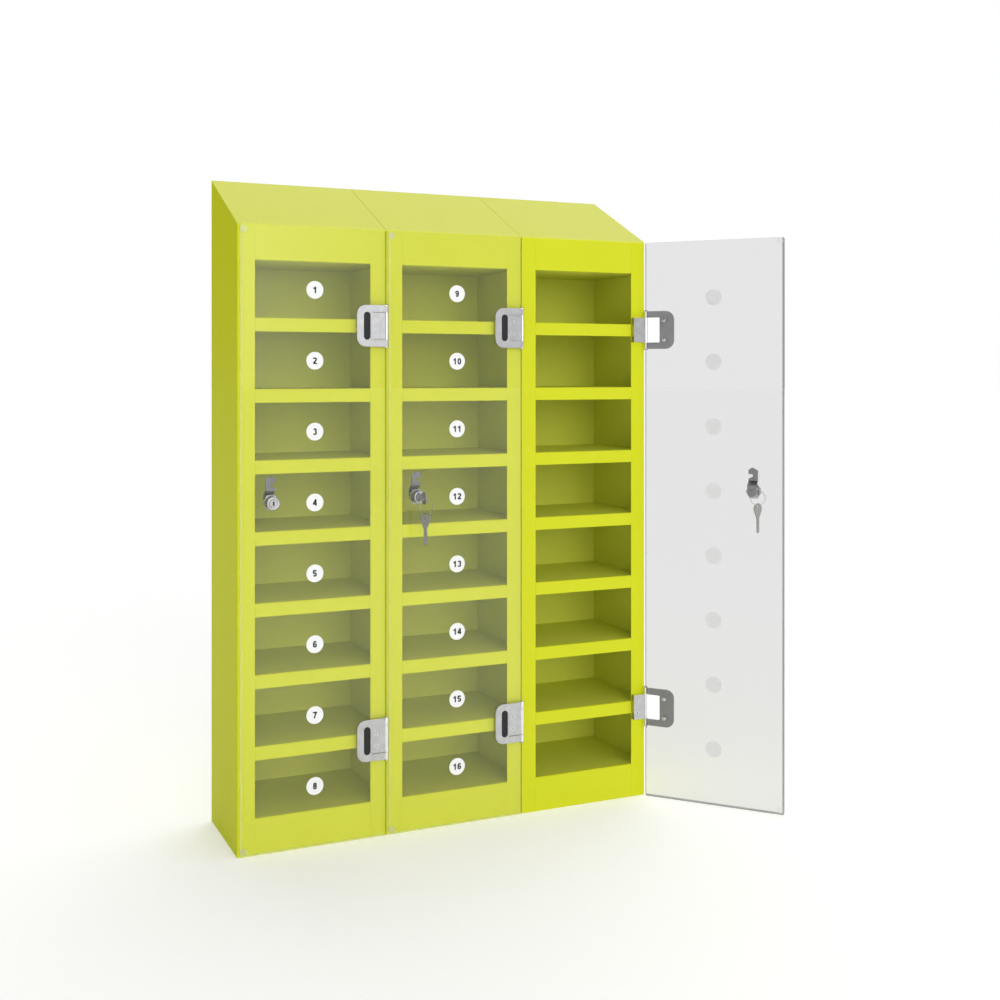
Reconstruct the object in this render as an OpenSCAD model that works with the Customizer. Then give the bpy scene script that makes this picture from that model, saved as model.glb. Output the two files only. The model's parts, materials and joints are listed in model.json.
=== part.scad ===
// Wall locker for phones: three steel columns of open compartments under a sloping top,
// each column closed by one clear door on two nested hinges, with a cam lock at its free edge.
// Origin: middle of the base. X runs along the front, -Y is the front, Z is up.

/* [Cabinet] */
// Width of one column
col_w = 250; // [210:5:320]
// Height of the front, up to the foot of the sloping top
front_h = 1000; // [800:10:1250]
// Depth from the front frame to the back
depth = 180; // [140:5:260]
// Rise of the sloping top from front to back
top_rise = 92; // [40:2:150]
// Thickness of the sheet steel
steel_t = 1.2; // [0.8:0.1:2]
// Outside radius of the folds in the sheet
fold_r = 2; // [1.5:0.1:3]
// Gap at each welded seam that shows at the front
seam = 0.2; // [0.1:0.05:0.5]
// Half the gap between the sloping tops of two columns
top_seam = 0.4; // [0.1:0.1:1]

/* [Compartments] */
// Compartments in a column
rows = 8; // [5:1:10]
// Width of the stile at each side of a column
stile_w = 28; // [24:1:40]
// Height of the header above the top compartment
header_h = 57; // [40:1:80]
// Height of the sill below the bottom compartment
sill_h = 59; // [40:1:80]
// Height of the lip at the front of a shelf
lip_h = 22; // [12:1:30]
// Diameter of the corner relief holes at the foot of the sloping top
relief_d = 2.5; // [2:0.5:5]
// Distance of the relief holes from the front
relief_y = 13; // [8:1:20]

/* [Wall fixings] */
// Diameter of the fixing holes in the back
fix_d = 8; // [5:0.5:10]
// Distance of the fixing holes from the left wall of their column
fix_x = 60; // [30:5:100]
// Height of the fixing holes above their shelf
fix_z = 45; // [25:5:60]

/* [Clear doors] */
// Thickness of the clear sheet
pane_t = 5; // [4:0.5:6]
// Gap between the closed door and the front frame
door_gap = 2.5; // [1.8:0.1:3]
// Gap between the free edge of a door and the side of its column
edge_gap = 2.5; // [2.5:0.5:5]
// Gap above and below a door
end_gap = 2; // [1:0.5:5]
// Corner radius of a door
pane_r = 3; // [2:1:15]
// Angle that the doors open to
open_angle = 132; // [100:1:132]
// Diameter of the clear bumpers at the free corners
bumper_d = 11; // [6:1:14]
// Distance of a bumper's centre from the side and the end of its column
bumper_inset = 9; // [8:0.5:12]
// Diameter of the number discs
disc_d = 28.5; // [15:0.5:40]
// Thickness of the number discs
disc_t = 0.3; // [0.2:0.1:1]
// How much wider than the shelves the discs are spaced
disc_stretch = 0.7; // [0:0.1:1]

/* [Hinges] */
// Distance from the top of the front to the middle of the upper hinge
hinge_top = 159; // [80:1:220]
// Distance from the bottom to the middle of the lower hinge
hinge_bottom = 162; // [80:1:220]
// Distance of the hinge axis from the side of its column
axis_inset = 2; // [2:0.1:4]
// Radius of the hinge knuckles
knuckle_r = 3; // [2.5:0.1:3.5]
// Radius of the hinge pin
pin_r = 1.5; // [1:0.1:2]
// Running clearance around the hinge pin
pin_fit = 0.05; // [0.02:0.01:0.1]
// Height of the door leaf
leaf_h = 68; // [60:1:90]
// Reach of the door leaf from the hinge axis
leaf_reach = 52; // [48:1:70]
// Thickness of the door leaf
leaf_t = 3; // [2.5:0.1:4]
// Radius of the outer corners of the door leaf
leaf_r = 15; // [8:1:20]
// Height of the window in the door leaf that the frame leaf lies in
window_h = 45; // [38:1:50]
// Gap around the frame leaf in the window
window_gap = 0.6; // [0.5:0.1:1.5]
// Thickness of the frame leaf
frame_leaf_t = 9; // [8:0.2:9.4]
// Distance between the two screws of a frame leaf
screw_pitch = 21; // [16:1:26]
// Width of the slotted recess in the door leaf
slot_w = 11.6; // [9:0.2:13]
// Height of the slotted recess
slot_h = 46; // [36:1:50]
// Depth of the slotted recess
slot_deep = 1.2; // [0.8:0.1:1.5]

/* [Locks] */
// Distance of the lock axis from the side of its column
lock_x = 54; // [46:1:70]
// Compartment that the lock is level with, counted from the top
lock_row = 4; // [1:1:5]
// Diameter of the lock's head
head_d = 21; // [20:0.5:26]
// Height of the lock's head above the door
head_h = 10.5; // [9:0.5:14]
// Diameter of the lock's threaded body
body_d = 19; // [17:0.5:19]
// Width across the two flats of the body
flats_w = 16; // [14:0.5:18]
// How far the body reaches behind the front frame
body_back = 14; // [12:0.5:16]
// Width across flats of the fixing nut
nut_af = 24; // [22:1:30]
// Thickness of the fixing nut
nut_t = 2.5; // [1.5:0.5:4]
// Radius of the turning plug
plug_r = 6.5; // [5.5:0.1:7]
// Running clearance around the plug
plug_fit = 0.05; // [0.02:0.01:0.1]
// Width of the cam
cam_w = 16; // [12:1:16]
// Reach of the cam from the lock axis
cam_reach = 42; // [36:1:42]
// Thickness of the cam
cam_t = 2; // [1.5:0.5:3]
// Gap between the turned cam and the back of the stile
cam_gap = 0.8; // [0.5:0.1:2]

/* [Keys] */
// Thickness of a key
key_t = 2; // [1.5:0.1:2.4]
// Width of the blade
blade_w = 6.5; // [5:0.5:8]
// Length of the blade
blade_len = 29; // [20:1:29]
// Radius of the round end of the bow
bow_r = 10; // [8:0.5:12]
// Length of the bow
bow_len = 24; // [22:1:30]
// Diameter of the hole in the bow
bow_hole_d = 5; // [4:0.5:6]
// Clearance of the blade in the keyway
keyway_gap = 0.2; // [0.1:0.05:0.3]
// Middle diameter of the key ring
ring_d = 26; // [22:1:32]
// Diameter of the ring's wire
ring_wire = 1.6; // [1.2:0.1:2]
// Gap between a key and the ring that carries it
hang_gap = 0.5; // [0.4:0.1:0.6]
// How far a spare key has twisted on its ring
spare_twist = 30; // [0:5:30]

/* [Hidden] */
$fn = 64;
columns = 3;
carcass_w = columns * col_w;
front_y = -depth / 2;
back_y = depth / 2;
opening_top = front_h - header_h;
clear_h = (opening_top - sill_h - (rows - 1) * lip_h) / rows;
pitch = clear_h + lip_h;
slope = atan(top_rise / depth);
// Height of the sloping sheet, measured straight up through it
slope_t = steel_t / cos(slope);
// How far the drawn parts of one piece run into each other, and a cut past its face
lap = 1;

// Planes of the closed door, all measured from the front frame towards the front
pane_back = front_y - door_gap;
pane_front = pane_back - pane_t;
leaf_front = pane_front - leaf_t;
axis_y = leaf_front + knuckle_r;
door_w = col_w - edge_gap - axis_inset - 0.5;
door_h = front_h - 2 * end_gap;
bumper_t = door_gap - 0.3;

// Hinge, with distances measured from its axis towards the free edge
frame_leaf_reach = stile_w - axis_inset - 0.5;
window_w = frame_leaf_reach + window_gap;
frame_leaf_h = window_h - 2 * window_gap;
slot_lip = 2.8;
slot_s = window_w + slot_lip + slot_w / 2;
leaf_edge = 0.6;
groove = 0.8;
bolt_z = (slot_h - slot_w) / 2;
bolt_r = 2;
bolt_head_r = 3.5;
bolt_head_t = 1.1;
bolt_gap = 0.1;
pin_cap = 2;
cap_gap = 0.3;
screw_s = frame_leaf_reach * 0.72;
screw_r = 2;
screw_head_r = 4;
screw_gap = 0.1;
recess_r = 1.2;

// Lock, with depths measured from the front frame
lock_z = comp_floor(lock_row) + clear_h / 2;
head_front = pane_front - head_h;
cam_y = front_y + body_back;
body_gap = 0.1;
plug_proud = 0.4;
tail_w = 8;
cam_bolt_r = 2;
cam_bolt_len = 3.5;
cam_bolt_head = 2.5;
cam_bolt_head_r = 3.6;
washer_r = 6;
washer_t = 1;
key_shoulder = 2;
ring_r = ring_d / 2;
wire_r = ring_wire / 2;
// Height of the bow's hole above the shoulder of the key
hole_up = bow_len - 4.5;
// Front of the key's shoulder, and the point that the ring's wire passes through its bow
key_y = head_front - key_shoulder;
hole_y = key_y - hole_up;
// How far below the middle of a bow's hole the wire of the ring lies
wire_drop = bow_hole_d / 2 - wire_r - hang_gap;

// Places that repeat

function col_x(c) = -carcass_w / 2 + (c - 1) * col_w;
function comp_floor(row) = sill_h + (rows - row) * pitch;
function hinge_zs() = [front_h - hinge_top, hinge_bottom];
function disc_z(k) = comp_floor(1) + clear_h / 2 - k * (pitch + disc_stretch);

module in_column(c) {
    translate([col_x(c), 0, 0]) children();
}

// Puts a door's pieces in their place at rest: the third door stands open
module on_door(c) {
    turn = c == columns ? open_angle : 0;
    in_column(c)
        translate([col_w - axis_inset, axis_y, 0])
            rotate([0, 0, turn])
                translate([axis_inset - col_w, -axis_y, 0])
                    children();
}

// Extrudes a profile drawn in Y and Z along X
module along_x(from, to) {
    translate([from, 0, 0])
        rotate([90, 0, 90])
            linear_extrude(height = to - from) children();
}

// Round bar along Y between two depths
module bar_y(r, y0, y1) {
    translate([0, y1, 0]) rotate([90, 0, 0]) cylinder(r = r, h = y1 - y0);
}

// Steel carcass

// Section of a sheet folded once: one leg along +X, one along +Y, outside corner rounded
module folded_section(leg_x, leg_y) {
    difference() {
        union() {
            translate([fold_r, 0]) square([leg_x - fold_r, steel_t]);
            translate([0, fold_r]) square([steel_t, leg_y - fold_r]);
            intersection() {
                translate([fold_r, fold_r]) circle(r = fold_r);
                square([fold_r, fold_r]);
            }
        }
        translate([fold_r, fold_r]) circle(r = fold_r - steel_t);
    }
}

// One wall of a column with the stile folded from its front edge
module side_wall() {
    stile_top = front_h - slope_t;
    wall_y = front_y + fold_r;
    translate([0, front_y, 0])
        linear_extrude(height = stile_top) folded_section(stile_w, 2 * fold_r);
    along_x(0, steel_t)
        polygon([
            [wall_y, 0],
            [back_y - steel_t, 0],
            [back_y - steel_t, front_h + top_rise - slope_t - steel_t * tan(slope)],
            [wall_y, stile_top + fold_r * tan(slope)]
        ]);
}

module side_left(c) {
    color("yellowgreen") in_column(c) side_wall();
}

// The right-hand stile is drilled for the screws of the hinges
module side_right(c) {
    color("yellowgreen")
        in_column(c)
            difference() {
                translate([col_w, 0, 0]) mirror([1, 0, 0]) side_wall();
                for (z = hinge_zs(), dz = [-0.5, 0.5] * screw_pitch)
                    translate([col_w - axis_inset - screw_s, 0, z + dz])
                        bar_y(screw_r + screw_gap, front_y - lap, front_y + steel_t + lap);
            }
}

// Side strips of a tray, behind the stiles
module tray_ears(z) {
    ear_y = front_y + steel_t + seam;
    for (x = [steel_t + seam, col_w - stile_w - lap])
        translate([x, ear_y, z])
            cube([stile_w + lap - steel_t - seam, back_y - steel_t - seam - ear_y, steel_t]);
}

// Shelf folded from one sheet: a lip that hangs down at the front and a plate to the back
module tray(z, lip) {
    translate([0, 0, z])
        along_x(stile_w + seam, col_w - stile_w - seam)
            translate([front_y, 0])
                mirror([0, 1])
                    rotate(90)
                        mirror([0, 1])
                            folded_section(lip, depth - steel_t - seam);
    tray_ears(z - steel_t);
}

// The header is the same tray turned over: its face stands up from the ceiling plate
module header_tray(c) {
    color("yellowgreen")
        in_column(c) {
            translate([0, 0, opening_top])
                along_x(stile_w + seam, col_w - stile_w - seam)
                    translate([front_y, 0])
                        rotate(90)
                            mirror([0, 1])
                                folded_section(header_h - slope_t, depth - steel_t - seam);
            tray_ears(opening_top);
        }
}

module floor_tray(c) {
    color("yellowgreen") in_column(c) tray(sill_h, sill_h);
}

module shelves(c) {
    color("yellowgreen")
        in_column(c)
            for (k = [1 : rows - 1]) tray(sill_h + k * pitch, lip_h);
}

module sloping_top(c) {
    left = c == 1 ? 0 : top_seam;
    right = c == columns ? col_w : col_w - top_seam;
    color("yellowgreen")
        in_column(c)
            difference() {
                along_x(left, right)
                    polygon([
                        [front_y, front_h - slope_t],
                        [back_y, front_h + top_rise - slope_t],
                        [back_y, front_h + top_rise],
                        [front_y, front_h]
                    ]);
                for (x = [stile_w, col_w - stile_w])
                    translate([x, front_y + relief_y, front_h + relief_y * tan(slope)])
                        rotate([slope, 0, 0])
                            cylinder(d = relief_d, h = 4 * steel_t, center = true);
            }
}

module back_panel() {
    top_z = front_h + top_rise - slope_t - steel_t * tan(slope);
    color("yellowgreen")
        difference() {
            translate([-carcass_w / 2, back_y - steel_t, 0]) cube([carcass_w, steel_t, top_z]);
            for (c = [1 : columns], row = [1, rows])
                translate([col_x(c) + fix_x, 0, comp_floor(row) + fix_z])
                    bar_y(fix_d / 2, back_y - 2 * steel_t, back_y + steel_t);
        }
}

module base_panels() {
    color("yellowgreen")
        for (c = [1 : columns])
            in_column(c)
                translate([steel_t, front_y + steel_t, 0])
                    cube([col_w - 2 * steel_t, depth - 2 * steel_t, steel_t]);
}

// Hinges

// Puts a hinge's pieces at both heights, with the axis at x = 0 and the free edge towards -X
module at_hinges() {
    for (z = hinge_zs()) translate([col_w - axis_inset, axis_y, z]) children();
}

module knuckle(z0, z1) {
    translate([0, 0, z0]) cylinder(r = knuckle_r, h = z1 - z0);
}

module pin_bore(h) {
    cylinder(r = pin_r + pin_fit, h = h, center = true);
}

// Block that is screwed to the stile and carries the middle knuckle
module frame_hinge_leaf() {
    back = front_y - axis_y;
    difference() {
        union() {
            translate([-frame_leaf_reach, back - frame_leaf_t, -frame_leaf_h / 2])
                cube([frame_leaf_reach - knuckle_r * 0.6, frame_leaf_t, frame_leaf_h]);
            knuckle(-frame_leaf_h / 2, frame_leaf_h / 2);
        }
        pin_bore(leaf_h);
        for (z = [-0.5, 0.5] * screw_pitch)
            translate([-screw_s, 0, z]) screw_shape(screw_gap, back - frame_leaf_t, back);
    }
}

// Countersunk screw along Y, its head flush with the plane y0
module screw_shape(gap, y0, y1) {
    head = screw_head_r - screw_r + gap;
    bar_y(screw_r + gap, y0 + head / 2, y1);
    translate([0, y0 + head, 0])
        rotate([90, 0, 0]) cylinder(r1 = screw_r + gap, r2 = screw_head_r + gap, h = head);
}

module frame_hinge_leaves() {
    color("silver") for (c = [1 : columns]) in_column(c) at_hinges() frame_hinge_leaf();
}

module hinge_pins() {
    reach = leaf_h / 2;
    color("gainsboro")
        for (c = [1 : columns])
            in_column(c)
                at_hinges() {
                    cylinder(r = pin_r, h = 2 * (reach + cap_gap + lap), center = true);
                    for (up = [0, 1])
                        mirror([0, 0, up])
                            translate([0, 0, reach + cap_gap])
                                cylinder(r1 = knuckle_r, r2 = pin_r + leaf_edge, h = pin_cap);
                }
}

// Each screw ends flush with the back of the stile
module hinge_screws() {
    face = front_y - axis_y - frame_leaf_t;
    tip = front_y - axis_y + steel_t;
    color("dimgray")
        for (c = [1 : columns])
            in_column(c)
                at_hinges()
                    for (z = [-0.5, 0.5] * screw_pitch)
                        translate([-screw_s, 0, z])
                            difference() {
                                screw_shape(0, face, tip);
                                bar_y(recess_r, face - lap, face + lap);
                            }
}

// Outline of the door leaf: square at the knuckles, rounded at the far corners
module leaf_outline(inset) {
    r = leaf_r - inset;
    translate([-leaf_reach + leaf_r, -leaf_h / 2 + inset])
        square([leaf_reach - leaf_r, leaf_h - 2 * inset]);
    translate([-leaf_reach + inset, -leaf_h / 2 + leaf_r])
        square([leaf_reach - inset, leaf_h - 2 * leaf_r]);
    for (z = [-1, 1] * (leaf_h / 2 - leaf_r))
        translate([-leaf_reach + leaf_r, z]) circle(r = r);
}

module slot_outline(gap) {
    w = slot_w - 2 * gap;
    translate([-slot_s - w / 2, -bolt_z]) square([w, 2 * bolt_z]);
    for (z = [-bolt_z, bolt_z]) translate([-slot_s, z]) circle(d = w);
}

// Extrudes an outline drawn in X and Z from the depth y0 back to y1
module along_y(y0, y1) {
    translate([0, y1, 0]) rotate([90, 0, 0]) linear_extrude(height = y1 - y0) children();
}

module door_hinge_leaf() {
    face = leaf_front - axis_y;
    back = pane_front - axis_y;
    difference() {
        union() {
            along_y(face + leaf_edge, back) leaf_outline(0);
            along_y(face, face + leaf_edge) leaf_outline(leaf_edge);
            knuckle(-leaf_h / 2, leaf_h / 2);
        }
        // Window for the frame leaf, open through to the barrel
        translate([-window_w, -knuckle_r - lap, -window_h / 2])
            cube([window_w + knuckle_r + lap, 2 * (knuckle_r + lap), window_h]);
        // Groove that sets the barrel off from the leaf
        translate([-knuckle_r - groove, face - lap, -leaf_h / 2 - lap])
            cube([groove, groove + lap, leaf_h + 2 * lap]);
        along_y(face - lap, face + slot_deep) slot_outline(0);
        for (z = [-bolt_z, bolt_z])
            translate([-slot_s, 0, z]) bar_y(bolt_r + bolt_gap, face, back + lap);
        pin_bore(leaf_h + 2 * lap);
    }
}

module door_hinge_leaves(c) {
    color("silver") on_door(c) at_hinges() door_hinge_leaf();
}

module leaf_covers(c) {
    sunk = 0.2;
    gap = 0.15;
    face = leaf_front - axis_y;
    color("#2b2b2d")
        on_door(c) at_hinges() along_y(face + sunk, face + slot_deep) slot_outline(gap);
}

module leaf_bolts(c) {
    recess = leaf_front - axis_y + slot_deep;
    back = pane_back - axis_y;
    color("gray")
        on_door(c)
            at_hinges()
                for (z = [-bolt_z, bolt_z])
                    translate([-slot_s, 0, z]) {
                        bar_y(bolt_r, recess, back);
                        translate([0, back + bolt_head_t, 0])
                            rotate([90, 0, 0])
                                cylinder(r1 = bolt_head_r - bolt_head_t, r2 = bolt_head_r, h = bolt_head_t);
                    }
}

// Clear doors

module pane_outline() {
    x0 = edge_gap;
    for (x = [pane_r, door_w - pane_r], z = [pane_r, door_h - pane_r])
        translate([x0 + x, end_gap + z]) circle(r = pane_r);
    translate([x0 + pane_r, end_gap]) square([door_w - 2 * pane_r, door_h]);
    translate([x0, end_gap + pane_r]) square([door_w, door_h - 2 * pane_r]);
}

// Notch for the barrel over the height of the hinge, and a deeper one for the frame leaf
module hinge_notch() {
    relief = knuckle_r + 0.8;
    past_edge = axis_inset + lap;
    barrel_h = leaf_h + 2 * (cap_gap + pin_cap + 0.7);
    translate([-relief, -barrel_h / 2]) square([relief + past_edge, barrel_h]);
    translate([-window_w - 0.5, -window_h / 2]) square([window_w + 0.5 + past_edge, window_h]);
}

// Threaded body of the lock: round with two flats at its sides
module body_section(gap) {
    intersection() {
        circle(d = body_d + 2 * gap);
        square([flats_w + 2 * gap, body_d + 2 * (gap + lap)], center = true);
    }
}

module door_pane(c) {
    color([0.85, 0.92, 0.95, 0.35])
        on_door(c)
            along_y(pane_front, pane_back)
                difference() {
                    pane_outline();
                    for (z = hinge_zs())
                        translate([col_w - axis_inset, z]) {
                            hinge_notch();
                            for (dz = [-bolt_z, bolt_z])
                                translate([-slot_s, dz]) circle(r = bolt_r + bolt_gap);
                        }
                    translate([lock_x, lock_z]) body_section(body_gap);
                }
}

module number_discs(c) {
    color("white")
        on_door(c)
            for (k = [0 : rows - 1])
                translate([col_w / 2, 0, disc_z(k)]) bar_y(disc_d / 2, pane_front - disc_t, pane_front);
}

module door_bumpers(c) {
    color([0.9, 0.9, 0.9, 0.6])
        on_door(c)
            for (z = [bumper_inset, front_h - bumper_inset])
                translate([bumper_inset, 0, z]) bar_y(bumper_d / 2, pane_back, pane_back + bumper_t);
}

// Locks

module at_lock(c) {
    on_door(c) translate([lock_x, 0, lock_z]) children();
}

module lock_housing(c) {
    rim = 1.2;
    color("silver")
        at_lock(c)
            difference() {
                union() {
                    translate([0, pane_front, 0])
                        rotate([90, 0, 0])
                            rotate_extrude()
                                polygon([
                                    [0, 0],
                                    [head_d / 2, 0],
                                    [head_d / 2, head_h - rim],
                                    [head_d / 2 - rim, head_h],
                                    [0, head_h]
                                ]);
                    along_y(pane_front, cam_y) body_section(0);
                }
                bar_y(plug_r + plug_fit, head_front - lap, cam_y + lap);
            }
}

module lock_nut(c) {
    color("silver")
        at_lock(c)
            along_y(pane_back, pane_back + nut_t)
                difference() {
                    circle(d = nut_af / cos(30), $fn = 6);
                    circle(d = body_d + 2 * body_gap);
                }
}

module keyway(depth_in) {
    w = key_t + 2 * keyway_gap;
    h = blade_w + 2 * keyway_gap;
    translate([-w / 2, head_front - lap, -h / 2]) cube([w, depth_in + lap, h]);
}

// The plug turns in the housing; its square tail carries the cam
module lock_plug(c) {
    end_play = 0.1;
    bolt_in = cam_bolt_len + end_play;
    color("lightgray")
        at_lock(c)
            difference() {
                union() {
                    bar_y(plug_r, head_front - plug_proud, cam_y - end_play);
                    translate([-tail_w / 2, cam_y - end_play, -tail_w / 2])
                        cube([tail_w, cam_t + end_play, tail_w]);
                }
                keyway(blade_len - key_shoulder + end_play);
                bar_y(cam_bolt_r + pin_fit, cam_y + cam_t - bolt_in, cam_y + cam_t + lap);
            }
}

// Cam seen from its side: flat at the plug, cranked forward, flat again behind the stile
module cam_profile() {
    front = front_y + steel_t + cam_gap;
    crank_start = body_d / 2 + 1.5;
    crank_end = crank_start + 7;
    polygon([
        [cam_y, -cam_w / 2],
        [cam_y, crank_start],
        [front, crank_end],
        [front, cam_reach],
        [front + cam_t, cam_reach],
        [front + cam_t, crank_end + cam_t / 2],
        [cam_y + cam_t, crank_start + cam_t / 2],
        [cam_y + cam_t, -cam_w / 2]
    ]);
}

// Cam seen from the front: round at the plug, pointed at the tip, with a hook cut in one edge
module cam_outline() {
    half = cam_w / 2;
    point = 4;
    hook_x = half * 0.35;
    hook_r = 2.5;
    hook_z = cam_reach - 14;
    difference() {
        union() {
            circle(r = half);
            polygon([
                [-half, 0],
                [half, 0],
                [half, cam_reach - point],
                [half * 0.2, cam_reach],
                [-half, cam_reach - point - 1]
            ]);
        }
        translate([hook_x, hook_z]) circle(r = hook_r);
        polygon([
            [hook_x, hook_z + hook_r],
            [half + lap, hook_z + hook_r],
            [half + lap, hook_z - 6],
            [hook_x, hook_z - hook_r]
        ]);
        square(tail_w + 2 * body_gap, center = true);
    }
}

module lock_cam(c) {
    seat = cam_y + cam_t;
    color("gray")
        at_lock(c) {
            intersection() {
                along_x(-cam_w, cam_w) cam_profile();
                along_y(front_y, seat + lap) cam_outline();
            }
            // Bolt and washer that hold the cam on the plug's tail
            bar_y(cam_bolt_r, seat - cam_bolt_len, seat + washer_t);
            bar_y(washer_r, seat, seat + washer_t);
            along_y(seat + washer_t, seat + washer_t + cam_bolt_head) circle(r = cam_bolt_head_r, $fn = 6);
        }
}

// Keys

// Blade and neck of a key drawn flat, below its round bow
module blade_outline() {
    neck = blade_w / 2 + 1;
    tip = 2.5;
    polygon([
        [-bow_r * 0.85, bow_len - bow_r * 1.45], [bow_r * 0.85, bow_len - bow_r * 1.45],
        [neck, 0], [blade_w / 2, 0], [blade_w / 2, tip - blade_len], [0, -blade_len],
        [-blade_w / 2, tip - blade_len], [-blade_w / 2, 0], [-neck, 0]
    ]);
}

// Notches along one edge of the blade, each at its own depth
module bitting() {
    depths = [1.2, 0.6, 1.6, 0.9, 1.3];
    step = (blade_len - 7) / len(depths);
    for (k = [0 : len(depths) - 1])
        translate([blade_w / 2, -4 - k * step])
            polygon([[0.1, 0], [0.1, -step], [-depths[k], -step * 0.7], [-depths[k], -step * 0.35]]);
}

module key_flat() {
    difference() {
        union() {
            translate([0, bow_len - bow_r, 0]) cylinder(r = bow_r, h = key_t, center = true);
            linear_extrude(height = key_t, center = true) blade_outline();
        }
        linear_extrude(height = 2 * key_t, center = true) bitting();
        translate([0, hole_up, 0]) cylinder(d = bow_hole_d, h = 2 * key_t, center = true);
    }
}

// The key stands in the lock with its flat sides to left and right and its bow in front
module key(c) {
    color("silver")
        at_lock(c) translate([0, key_y, 0]) rotate([180, 0, 0]) rotate([0, 90, 0]) key_flat();
}

module key_ring(c) {
    color("lightgray")
        at_lock(c)
            translate([0, hole_y, -wire_drop - ring_r])
                rotate([90, 0, 0])
                    rotate_extrude() translate([ring_r, 0]) circle(r = wire_r, $fn = 24);
}

// The spare key hangs from the foot of the ring, blade down, twisted a little about the wire
module spare_key(c) {
    twist = c == columns ? -spare_twist : spare_twist;
    color("silver")
        at_lock(c)
            translate([0, hole_y, -2 * wire_drop - ring_d - hole_up])
                rotate([90, 0, 90 + twist]) key_flat();
}

// What is drawn

side_left(1);  // side_left_1
side_right(1);  // side_right_1
side_left(2);  // side_left_2
side_right(2);  // side_right_2
side_left(3);  // side_left_3
side_right(3);  // side_right_3
header_tray(1);  // header_tray_1
header_tray(2);  // header_tray_2
header_tray(3);  // header_tray_3
floor_tray(1);  // floor_tray_1
floor_tray(2);  // floor_tray_2
floor_tray(3);  // floor_tray_3
shelves(1);  // shelves_1
shelves(2);  // shelves_2
shelves(3);  // shelves_3
sloping_top(1);  // sloping_top_1
sloping_top(2);  // sloping_top_2
sloping_top(3);  // sloping_top_3
back_panel();
base_panels();
frame_hinge_leaves();
hinge_pins();
hinge_screws();
door_pane(1);  // door_pane_1
door_pane(2);  // door_pane_2
door_pane(3);  // door_pane_3
door_hinge_leaves(1);  // door_hinge_leaves_1
door_hinge_leaves(2);  // door_hinge_leaves_2
door_hinge_leaves(3);  // door_hinge_leaves_3
leaf_covers(1);  // leaf_covers_1
leaf_covers(2);  // leaf_covers_2
leaf_covers(3);  // leaf_covers_3
leaf_bolts(1);  // leaf_bolts_1
leaf_bolts(2);  // leaf_bolts_2
leaf_bolts(3);  // leaf_bolts_3
number_discs(1);  // number_discs_1
number_discs(2);  // number_discs_2
number_discs(3);  // number_discs_3
door_bumpers(1);  // door_bumpers_1
door_bumpers(2);  // door_bumpers_2
door_bumpers(3);  // door_bumpers_3
lock_housing(1);  // lock_housing_1
lock_housing(2);  // lock_housing_2
lock_housing(3);  // lock_housing_3
lock_nut(1);  // lock_nut_1
lock_nut(2);  // lock_nut_2
lock_nut(3);  // lock_nut_3
lock_plug(1);  // lock_plug_1
lock_plug(2);  // lock_plug_2
lock_plug(3);  // lock_plug_3
lock_cam(1);  // lock_cam_1
lock_cam(2);  // lock_cam_2
lock_cam(3);  // lock_cam_3
key(2);  // key_2
key(3);  // key_3
key_ring(2);  // key_ring_2
key_ring(3);  // key_ring_3
spare_key(2);  // spare_key_2
spare_key(3);  // spare_key_3
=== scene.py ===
"""Finishes a wall locker for phones: powder-coated carcass, clear doors, satin hinges, locks and keys."""

import contextlib
import json
import math

import bmesh
import bpy
import numpy as np
from mathutils import Matrix, Vector

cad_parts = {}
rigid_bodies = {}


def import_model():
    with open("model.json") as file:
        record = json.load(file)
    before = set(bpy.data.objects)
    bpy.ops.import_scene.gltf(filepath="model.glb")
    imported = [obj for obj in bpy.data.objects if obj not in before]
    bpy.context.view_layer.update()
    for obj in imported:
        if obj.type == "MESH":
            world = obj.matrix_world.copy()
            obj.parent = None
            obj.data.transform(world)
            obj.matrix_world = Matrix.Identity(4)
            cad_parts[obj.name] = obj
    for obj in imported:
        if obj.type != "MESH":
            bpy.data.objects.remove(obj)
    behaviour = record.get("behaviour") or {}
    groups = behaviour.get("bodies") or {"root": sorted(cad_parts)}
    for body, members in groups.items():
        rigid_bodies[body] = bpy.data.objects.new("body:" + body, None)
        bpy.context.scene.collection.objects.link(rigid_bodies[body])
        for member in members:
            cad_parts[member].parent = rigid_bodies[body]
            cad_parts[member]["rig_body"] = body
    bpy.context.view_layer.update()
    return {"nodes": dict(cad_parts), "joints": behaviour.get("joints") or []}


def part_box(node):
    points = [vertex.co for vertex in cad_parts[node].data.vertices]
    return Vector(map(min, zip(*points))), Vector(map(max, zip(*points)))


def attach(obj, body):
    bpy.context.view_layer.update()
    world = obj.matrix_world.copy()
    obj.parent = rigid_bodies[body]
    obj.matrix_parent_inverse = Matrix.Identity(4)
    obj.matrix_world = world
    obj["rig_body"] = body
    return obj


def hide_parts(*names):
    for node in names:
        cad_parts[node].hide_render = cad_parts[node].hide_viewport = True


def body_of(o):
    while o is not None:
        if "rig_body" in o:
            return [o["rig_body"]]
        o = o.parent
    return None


bl_info = {
    "name": "Phone Locker Finish",
    "version": (1, 0, 0),
    "blender": (4, 5, 0),
    "location": "View3D > Sidebar > Locker",
    "description": "Adds the fine pieces and finishes of a phone locker to its packed model",
    "category": "Object",
}

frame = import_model()

JOINTS = {joint["name"]: joint for joint in frame["joints"]}
COLUMNS = sum(name.startswith("door_pane_") for name in frame["nodes"])
DOORS = range(1, COLUMNS + 1)
KEYED = [c for c in DOORS if f"key_{c}" in frame["nodes"]]


# Places taken from the frame


def door_place(door):
    """Matrix that carries a point of the closed door to its place at rest: a turn about the hinge axis."""
    hinge = JOINTS[f"door_{door}_hinge"]
    pivot = Matrix.Translation(Vector(hinge["pos_m"]))
    turn = Matrix.Rotation(math.radians(-hinge["range_deg"][0]), 4, "Z")
    return pivot @ turn @ pivot.inverted()


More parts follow.
